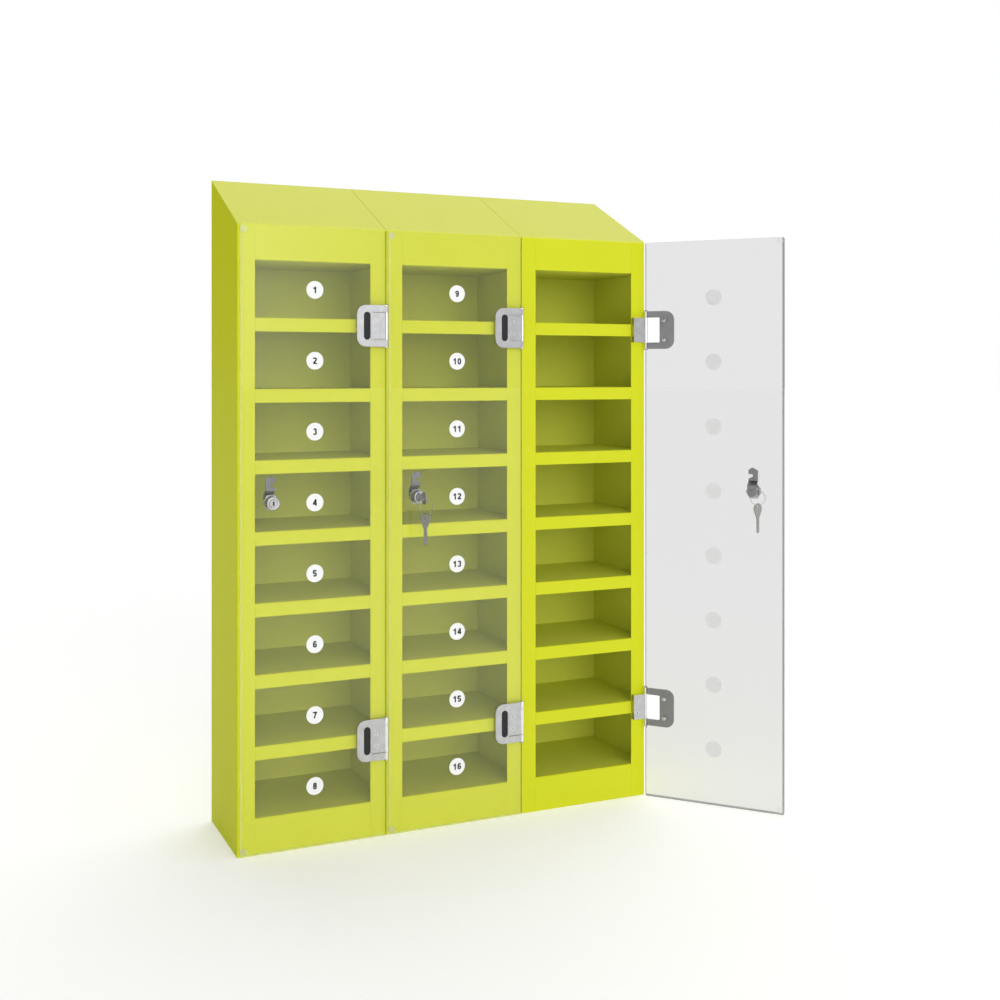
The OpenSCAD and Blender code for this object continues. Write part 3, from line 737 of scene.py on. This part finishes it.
def figure_strokes(figure):
    """Middle lines of a figure one unit high, as (points, closed) pairs: bars, arcs and rings."""
    half, wide = FIGURE_STROKE / 2, FIGURE_WIDE
    mid, right, top = wide / 2, wide - half, 1 - half
    across = mid - half
    if figure == "9":
        return [(np.array([wide, 1.0]) - path, closed) for path, closed in figure_strokes("6")]
    bars = {
        "1": [[(0.62 * wide, 0), (0.62 * wide, 1)],
              [(0.60 * wide, 0.86), (0.42 * wide, 0.76), (0.12 * wide, 0.70)]],
        "2": [[(half * 0.4, half), (wide, half)]],
        "4": [[(0.72 * wide, 0), (0.72 * wide, 1)], [(0.72 * wide, 0.96), (half * 0.6, 0.30)],
              [(0, 0.28), (wide, 0.28)]],
        "5": [[(0.17 * wide, top), (0.92 * wide, top)], [(0.22 * wide, 1), (0.13 * wide, 0.46)]],
        "7": [[(0, top), (wide, top)], [(right - 0.01, top), (0.52 * wide, 0.42), (0.36 * wide, 0)]],
    }
    curves = {
        "0": [(arc((mid, 0.5), across, 0.5 - half, 0, 360), True)],
        "2": [(np.vstack([arc((mid, 0.70), across, top - 0.70, 170, -30), [[half, half * 1.1]]]), False)],
        "3": [(arc((mid, 0.72), across * 0.94, top - 0.72, 165, -90), False),
              (arc((mid, 0.29), across, 0.29 - half + 0.02, 90, -165), False)],
        "5": [(arc((mid - 0.01, 0.315), across, 0.315 - half, 145, -160), False)],
        "6": [(arc((mid, 0.31), across, 0.31 - half, 0, 360), True),
              (arc((mid, 0.5), across, 0.5 - half, 205, 35), False)],
        "8": [(arc((mid, 0.73), across * 0.88, top - 0.73, 0, 360), True),
              (arc((mid, 0.29), across, 0.29 - half, 0, 360), True)],
    }
    strokes = [(np.array(points, dtype=float), False) for points in bars.get(figure, [])]
    return strokes + [(path[:-1] if closed else path, closed) for path, closed in curves.get(figure, [])]


def flat_stroke(path, closed, height):
    """Flat bar of even width along a line: its two edges lie half the width to either side of the line."""
    if closed:
        tangent = np.roll(path, -1, axis=0) - np.roll(path, 1, axis=0)
    else:
        tangent = np.gradient(path, axis=0)
    tangent /= np.linalg.norm(tangent, axis=1, keepdims=True)
    side = np.stack([-tangent[:, 1], tangent[:, 0]], axis=-1) * FIGURE_STROKE / 2
    count = len(path)
    edges = [path + side, path - side]
    corners = np.concatenate([np.column_stack([edges[k], np.full(count, level)])
                              for k, level in ((0, height), (1, height), (1, 0.0), (0, 0.0))])
    faces = grid_faces(4, count, around=closed, along=True).tolist()
    if not closed:
        faces += [[k * count for k in range(4)], [k * count + count - 1 for k in (3, 2, 1, 0)]]
    return corners, faces


class LOCKER_OT_number_discs(bpy.types.Operator):
    """Finishes the discs as white film and prints a plain number on each"""

    bl_idname = "locker.number_discs"
    bl_label = "Number Discs"

    def execute(self, context):
        ink = plastic("Black Ink", (0.008, 0.008, 0.009), (0.016, 0.016, 0.018), grain=0.05, low=0.4, high=0.55,
                      shine=0.15)
        count = 0
        for door in DOORS:
            discs = closed_boxes(f"number_discs_{door}", door)
            opened = door_place(door)
            behind = opened.to_3x3() @ Vector((0, 1, 0))
            middle = opened @ Vector((discs[0][0] + discs[0][1]) / 2)
            # The film's back, seen through the sheet, is painted darker as shade
            back = {"Back Shade Colour": (0.79, 0.79, 0.82, 1), "Side": behind, "Side Edge": middle.dot(behind)}
            film = plastic(f"White Film {door}", (0.92, 0.92, 0.92), (0.88, 0.88, 0.88), grain=0.05, low=0.4,
                           high=0.55, shine=0.4, back=back)
            repaint(f"number_discs_{door}", film)
            for low, high in discs:
                count += 1
                self.digits(context, count, seat(low, high, low[1]), door, ink)
        return {"FINISHED"}

    def digits(self, context, count, middle, door, ink):
        """Figures side by side as thin raised strokes, centred on the disc and facing the front."""
        size = context.scene.locker_pieces.digit_height
        figures = str(count)
        parts = []
        for place, figure in enumerate(figures):
            shift = (place - (len(figures) - 1) / 2) * FIGURE_PITCH - FIGURE_WIDE / 2
            for step, (path, closed) in enumerate(figure_strokes(figure)):
                corners, faces = flat_stroke(path, closed, PRINT_LOW + PRINT_STEP * step / size)
                parts.append((corners + np.array([shift, -0.5, 0.0]), faces))
        corners, faces = joined(parts)
        upright = Matrix.Rotation(math.radians(90), 4, "X")
        place = door_place(door) @ Matrix.Translation(Vector(middle)) @ upright
        piece = mesh_object(f"number_{count}", moved(corners * size, place), faces, ink)
        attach(piece, f"door_{door}")


class LOCKER_OT_hinges(bpy.types.Operator):
    """Rounds and finishes the nested hinge leaves, their pins, screws and slotted covers"""

    bl_idname = "locker.hinges"
    bl_label = "Hinges"

    def execute(self, context):
        look = context.scene.locker_finish
        rounding = context.scene.locker_pieces.metal_round
        satin = metal("Satin Metal", look.satin, look.satin_dull, across=1100.0, along=420.0, lines=0.45,
                      low=0.20, high=0.38)
        # The leaves' back is the satin metal painted darker as shade
        back = metal("Satin Metal Back Shade", look.satin_back, (0.25, 0.25, 0.255), across=1100.0, along=420.0,
                     lines=0.45, low=0.26, high=0.42)
        # The barrels are polished with low roughness, and their brighter colour is partly a painted highlight
        barrel = metal("Polished Barrel Highlight", look.barrel, (0.78, 0.78, 0.79), across=900.0, along=300.0, lines=0.06,
                       low=0.07, high=0.15)
        steel = metal("Plain Steel", (0.72, 0.72, 0.73), (0.60, 0.60, 0.61), across=900.0, along=900.0,
                      lines=0.08, low=0.16, high=0.28)
        black = plastic("Black Cover", (0.016, 0.017, 0.019), (0.03, 0.03, 0.033), grain=0.12, low=0.32,
                        high=0.48, shine=0.2)
        leaves = softened_copy("frame_hinge_leaves", "stile_leaves", satin, rounding)
        self.leaf_faces(leaves, DOORS, Matrix.Identity(4), back, barrel)
        repaint("hinge_pins", steel)
        for door in DOORS:
            leaves = softened_copy(f"door_hinge_leaves_{door}", f"door_leaves_{door}", satin, rounding, segments=3)
            self.leaf_faces(leaves, (door,), door_place(door), back, barrel)
            softened_copy(f"leaf_covers_{door}", f"slot_covers_{door}", black, SMALL_ROUND)
            self.bolts(door, steel)
        self.screws(steel)
        return {"FINISHED"}

    def leaf_faces(self, leaves, doors, opened, back, barrel):
        """Gives the barrels a brighter finish, polished and partly a painted highlight, and the leaves' side
        towards the cabinet a darker finish, a painted shade.

        A face is on a barrel where its middle lies within reach of a hinge axis.
        """
        mesh = leaves.data
        mesh.materials.append(back)
        mesh.materials.append(barrel)
        closed = opened.inverted()
        middles = moved(read(mesh.polygons, "center", 3), closed)
        normals = moved(read(mesh.polygons, "normal", 3), closed.to_3x3().to_4x4())
        axes = np.array([JOINTS[f"door_{door}_hinge"]["pos_m"][:2] for door in doors])
        away = np.linalg.norm(middles[:, None, :2] - axes, axis=2).min(axis=1)
        finish = np.where(away < BARREL_REACH, BARREL, np.where(normals[:, 1] > BACKWARD, LEAF_BACK_SHADE, LEAF))
        mesh.polygons.foreach_set("material_index", finish.astype(np.int32))

    def cross_top(self, radius, depth):
        """Top of a screw head: a polar grid sunk where either arm of a cross passes, deeper to the middle."""
        r = np.linspace(0, radius, HEAD_RINGS)[:, None]
        a = np.linspace(0, 2 * math.pi, HEAD_STEPS, endpoint=False)[None, :]
        x, y = r * np.cos(a), r * np.sin(a)
        arm, reach = radius * ARM_HALF, radius * ARM_REACH
        narrow = np.minimum(np.abs(x), np.abs(y))
        long = np.maximum(np.abs(x), np.abs(y))
        end = np.clip((reach - long) / (radius * ARM_END), 0, 1)
        wall = np.clip((arm - narrow) / (arm * ARM_SLOPE), 0, 1) * end
        sunk = -depth * wall * (1 - CROSS_RISE * long / radius)
        return np.stack([x, y, sunk], axis=-1).reshape(-1, 3)

    def screw(self, head, shank, head_depth, length, domed):
        """Head with a cross recess, its cone or dome, and the shank, as one closed surface about local Z."""
        top = self.cross_top(head * TOP_SHARE, head * CROSS_DEPTH)
        if domed:
            top[:, 2] += head_depth * (1 - (np.hypot(top[:, 0], top[:, 1]) / head) ** 2 * 0.5) - head_depth * 0.5
        below = [[head, top[-1, 2] - head * RIM_SHARE]]
        if domed:
            below += [[head, -head_depth * 0.5], [shank, -head_depth * 0.5]]
        else:
            below += [[shank, -head_depth]]
        below += [[shank, -length], [0, -length]]
        side = turned_grid(below, HEAD_STEPS)
        return np.concatenate([top, side]), grid_faces(HEAD_RINGS + len(below), HEAD_STEPS, around=True)

    def screws(self, steel):
        """Two countersunk screws through each leaf on the stile, heads flush with the leaf."""
        parts = []
        for part in solids("hinge_screws"):
            low, high = part.min(axis=0), part.max(axis=0)
            head = (high[2] - low[2]) / 2
            shape, faces = self.screw(head, head / 2, head / 2, high[1] - low[1], domed=False)
            parts.append((moved(shape, facing(seat(low, high, low[1]), (0, -1, 0), Matrix.Identity(4))), faces))
        piece = mesh_object("stile_screws", *joined(parts), steel)
        stands_for(piece, "carcass", "hinge_screws")

    def bolts(self, door, steel):
        """Two pan heads behind each door leaf, seen through the clear sheet."""
        parts = []
        for low, high in closed_boxes(f"leaf_bolts_{door}", door):
            head = (high[2] - low[2]) / 2
            half = PAN_HEIGHT * 0.5
            shape, faces = self.screw(head, head * PAN_SHANK, PAN_HEIGHT, high[1] - low[1] - half, domed=True)
            place = facing(seat(low, high, high[1] - half), (0, 1, 0), door_place(door))
            parts.append((moved(shape, place), faces))
        piece = mesh_object(f"leaf_screws_{door}", *joined(parts), steel)
        stands_for(piece, f"door_{door}", f"leaf_bolts_{door}")


class LOCKER_OT_locks(bpy.types.Operator):
    """Cuts the lock bodies' threads and finishes plugs, nuts and hooked cams"""

    bl_idname = "locker.locks"
    bl_label = "Locks"

    def execute(self, context):
        look = context.scene.locker_finish
        rounding = context.scene.locker_pieces.metal_round
        plated = metal("Nickel Plate", look.plated, (0.42, 0.42, 0.42), across=700.0, along=700.0, lines=0.06,
                       low=0.16, high=0.30)
        zinc = metal("Zinc Plate", (0.32, 0.32, 0.33), (0.22, 0.22, 0.23), across=500.0, along=500.0, lines=0.14,
                     low=0.26, high=0.42)
        for door in DOORS:
            self.housing(context, door, plated)
            softened_copy(f"lock_nut_{door}", f"fixing_nut_{door}", plated, NUT_ROUND)
            softened_copy(f"lock_plug_{door}", f"turning_plug_{door}", plated, SMALL_ROUND)
            softened_copy(f"lock_cam_{door}", f"hook_cam_{door}", zinc, rounding * CAM_ROUND_SHARE)
        return {"FINISHED"}

    def housing(self, context, door, material):
        """Head, threaded body with two flats, and bore, as one closed surface about the lock's axis.

        The radius on the body is a triangle wave of the angle plus the depth in pitches, cut at the flats.
        """
        sizes = context.scene.locker_pieces
        low, high = closed_boxes(f"lock_housing_{door}", door)[0]
        plug_low, plug_high = closed_boxes(f"lock_plug_{door}", door)[0]
        pane_low = closed_boxes(f"door_pane_{door}", door)[0][0]
        head = (high[0] - low[0]) / 2
        bore = (plug_high[0] - plug_low[0]) / 2 + BORE_PLAY
        under = pane_low[1] - low[1]
        end = high[1] - low[1] - END_PLAY
        pitch, depth = sizes.thread_pitch, sizes.thread_depth
        bevel = np.linspace(0, math.pi / 2, HEAD_POINTS)
        crown = np.stack([head - HEAD_ROUND + HEAD_ROUND * np.sin(bevel), HEAD_ROUND - HEAD_ROUND * np.cos(bevel)],
                         axis=-1)
        turns = np.arange(under + THREAD_START, end - THREAD_END, pitch / TURN_RINGS)
        profile = np.vstack([
            [[bore + out, depth_in] for out, depth_in in MOUTH], crown,
            [[head, under - HEAD_EDGE], [head - HEAD_EDGE, under], [BODY_RADIUS, under]],
            np.stack([np.full(len(turns), BODY_RADIUS), turns], axis=-1),
            [[BODY_RADIUS - THREAD_END, end], [bore, end]]])

        def radius(r, h, a):
            wave = np.abs(((h / pitch + a / (2 * math.pi)) % 1.0) * 2 - 1)
            on_body = (h > under + NEAR) & (r > bore + NEAR)
            r = np.where(on_body & (h < end - NEAR), r - depth * wave, r)
            cut = HALF_FLATS / np.maximum(np.abs(np.cos(a)), 1e-6)
            return np.where(on_body, np.minimum(r, cut), r)

        corners = turned_grid(profile, BODY_STEPS, radius)
        place = facing(seat(low, high, low[1]), (0, 1, 0), door_place(door))
        faces = grid_faces(len(profile), BODY_STEPS, around=True, along=True)
        piece = mesh_object(f"lock_body_{door}", moved(corners, place), faces, material, hard=35)
        stands_for(piece, f"door_{door}", f"lock_housing_{door}")


class LOCKER_OT_keys(bpy.types.Operator):
    """Finishes the keys and winds each split ring as two turns of wire"""

    bl_idname = "locker.keys"
    bl_label = "Keys and Rings"

    def execute(self, context):
        plated = metal("Key Plate", (0.40, 0.40, 0.40), (0.27, 0.27, 0.27), across=1200.0, along=1200.0,
                       lines=0.1, low=0.2, high=0.36)
        for door in KEYED:
            softened_copy(f"key_{door}", f"fitted_key_{door}", plated, SMALL_ROUND)
            softened_copy(f"spare_key_{door}", f"hanging_key_{door}", plated, SMALL_ROUND)
            self.ring(context, door, plated)
        return {"FINISHED"}

    def ring(self, context, door, material):
        """Two turns of wire side by side: a helix of small lead whose step over is at the foot of one turn."""
        lead = context.scene.locker_pieces.ring_lead
        low, high = closed_boxes(f"key_ring_{door}", door)[0]
        wire = (high[1] - low[1]) / 2
        radius = (high[0] - low[0]) / 2 - wire
        a = np.linspace(0, 4 * math.pi - RING_GAP, WIRE_POINTS)
        step = np.clip((a - (2 * math.pi - RING_CROSS / 2)) / RING_CROSS, 0, 1)
        across = -lead / 2 + lead * step * step * (3 - 2 * step)
        centre = (low + high) / 2
        path = np.stack([centre[0] + radius * np.cos(a + RING_START), centre[1] + across,
                         centre[2] + radius * np.sin(a + RING_START)], axis=-1)
        corners, faces = swept_tube(path, wire * WIRE_SHARE, WIRE_SIDES)
        piece = mesh_object(f"split_ring_{door}", moved(corners, door_place(door)), faces, material, hard=60)
        stands_for(piece, f"ring_{door}", f"key_ring_{door}")


# Stage

# Film width of the camera in millimetres, and how far it sees
SENSOR, SIGHT = 36, 100

# Floor: radius, depth under the locker, and its rings and steps
FLOOR_RADIUS, FLOOR_DROP = 60.0, 0.0005
FLOOR_RINGS, FLOOR_STEPS = 24, 64

# Brightest side of the sky and the cosines between which it brightens, and the extra soft lobes: direction,
# cosine at the edge, strength
SKY_SIDE = (0.40, -0.80, 0.30)
SKY_FROM, SKY_FULL = -0.85, 0.9
SKY_LOBES = (
    ((-0.10, -0.95, 0.18), 0.865, 2.85),
    ((0.40, 0.50, 0.75), 0.6, 1.3),
)

# Soft lamp: side length, place, and the point that it shines on
LAMP_SIZE, LAMP_PLACE, LAMP_AIM = 1.6, (1.4, -2.6, 2.4), (0, 0, 0.6)


class LOCKER_OT_stage(bpy.types.Operator):
    """Sets the floor, the camera and the soft studio light"""

    bl_idname = "locker.stage"
    bl_label = "Stage"

    def execute(self, context):
        view = context.scene.locker_stage
        context.scene.view_settings.view_transform = "Standard"
        self.camera(context, view)
        self.floor(view)
        self.sky(context, view)
        self.lamp(context, view)
        return {"FINISHED"}

    def camera(self, context, view):
        """Level camera whose lens is shifted instead of tilted."""
        lens = bpy.data.cameras.new("Camera")
        lens.sensor_width, lens.clip_end = SENSOR, SIGHT
        lens.lens, lens.shift_x, lens.shift_y = view.lens, view.shift_x, view.shift_y
        camera = bpy.data.objects.new("Camera", lens)
        context.scene.collection.objects.link(camera)
        camera.location = view.camera_place
        camera.rotation_euler = (math.pi / 2, 0, -view.camera_yaw)
        context.scene.camera = camera

    def floor(self, view):
        """Pale floor: a wide disc whose corners lie on rings, closer together the nearer they are."""
        paint = plastic("Pale Floor", (0.93, 0.93, 0.93), (0.92, 0.92, 0.92), grain=0.0, low=0.8, high=0.85,
                        shine=0.1)
        tree = paint.node_tree
        path = tree.nodes.new("ShaderNodeLightPath").outputs
        lift = ranged(tree, path["Is Transmission Ray"], view.floor_lift, view.floor_lift_glass)
        feed(tree, tree.nodes["Principled BSDF"], Emission_Color=(1, 1, 1, 1), Emission_Strength=lift)
        r = np.linspace(0, 1, FLOOR_RINGS) ** 3 * FLOOR_RADIUS
        profile = np.stack([r, np.full(FLOOR_RINGS, -FLOOR_DROP)], axis=-1)
        piece = mesh_object("floor", turned_grid(profile, FLOOR_STEPS),
                            grid_faces(FLOOR_RINGS, FLOOR_STEPS, around=True), paint)
        if piece.data.polygons[0].normal.z < 0:
            piece.data.flip_normals()

    def towards(self, tree, where, direction, *light):
        """Light that goes from low to high as the cosine of the angle to a direction goes from start to full."""
        turned = maths(tree, "DOT_PRODUCT", where, Vector(direction).normalized(), "ShaderNodeVectorMath")
        return ranged(tree, turned, *light)

    def sky(self, context, view):
        """White to the eye; as light, a sky that brightens towards the front right, with soft lobes."""
        world = bpy.data.worlds.new("Studio")
        context.scene.world = world
        world.use_nodes = True
        tree = world.node_tree
        where = tree.nodes.new("ShaderNodeTexCoord").outputs["Generated"]
        total = self.towards(tree, where, SKY_SIDE, view.sky_dim, view.sky_bright, SKY_FROM, SKY_FULL)
        for direction, edge, strength in SKY_LOBES:
            lobe = self.towards(tree, where, direction, 0.0, strength, edge, 1.0, "SMOOTHSTEP")
            total = maths(tree, "ADD", total, lobe)
        path = tree.nodes.new("ShaderNodeLightPath").outputs
        glass = path["Is Transmission Ray"]
        seen = maths(tree, "MAXIMUM", path["Is Camera Ray"], glass)
        white = maths(tree, "SUBTRACT", 1.0, maths(tree, "MULTIPLY", glass, view.behind_glass))
        feed(tree, tree.nodes["Background"], Color=(1, 1, 1, 1), Strength=mixed(tree, seen, total, white, "FLOAT"))

    def lamp(self, context, view):
        """Large soft lamp, high at the front right."""
        light = bpy.data.lights.new("Soft Lamp", "AREA")
        light.energy, light.size = view.lamp, LAMP_SIZE
        lamp = bpy.data.objects.new("Soft Lamp", light)
        context.scene.collection.objects.link(lamp)
        lamp.location = LAMP_PLACE
        lamp.rotation_euler = (Vector(LAMP_AIM) - lamp.location).to_track_quat("-Z", "Y").to_euler()


class LOCKER_PT_panel(bpy.types.Panel):
    """Lists the steps that finish the locker"""

    bl_idname = "LOCKER_PT_panel"
    bl_label = "Phone Locker"
    bl_space_type = "VIEW_3D"
    bl_region_type = "UI"
    bl_category = "Locker"

    def draw(self, context):
        for step in STEPS:
            self.layout.operator(step.bl_idname)
        for group in (context.scene.locker_finish, context.scene.locker_pieces, context.scene.locker_stage):
            box = self.layout.box()
            for name in group.__annotations__:
                box.prop(group, name)


STEPS = (LOCKER_OT_coat_carcass, LOCKER_OT_clear_doors, LOCKER_OT_number_discs, LOCKER_OT_hinges,
         LOCKER_OT_locks, LOCKER_OT_keys, LOCKER_OT_stage)
SETTINGS = {"locker_finish": FinishSettings, "locker_pieces": PieceSettings, "locker_stage": StageSettings}


def register():
    for group in SETTINGS.values():
        bpy.utils.register_class(group)
    for step in STEPS:
        bpy.utils.register_class(step)
    bpy.utils.register_class(LOCKER_PT_panel)
    for name, group in SETTINGS.items():
        setattr(bpy.types.Scene, name, bpy.props.PointerProperty(type=group))


def unregister():
    for name in SETTINGS:
        delattr(bpy.types.Scene, name)
    bpy.utils.unregister_class(LOCKER_PT_panel)
    for step in reversed(STEPS):
        bpy.utils.unregister_class(step)
    for group in reversed(SETTINGS.values()):
        bpy.utils.unregister_class(group)


def main():
    register()
    for step in STEPS:
        family, name = step.bl_idname.split(".")
        getattr(getattr(bpy.ops, family), name)()
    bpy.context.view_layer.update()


if __name__ == "__main__":
    main()
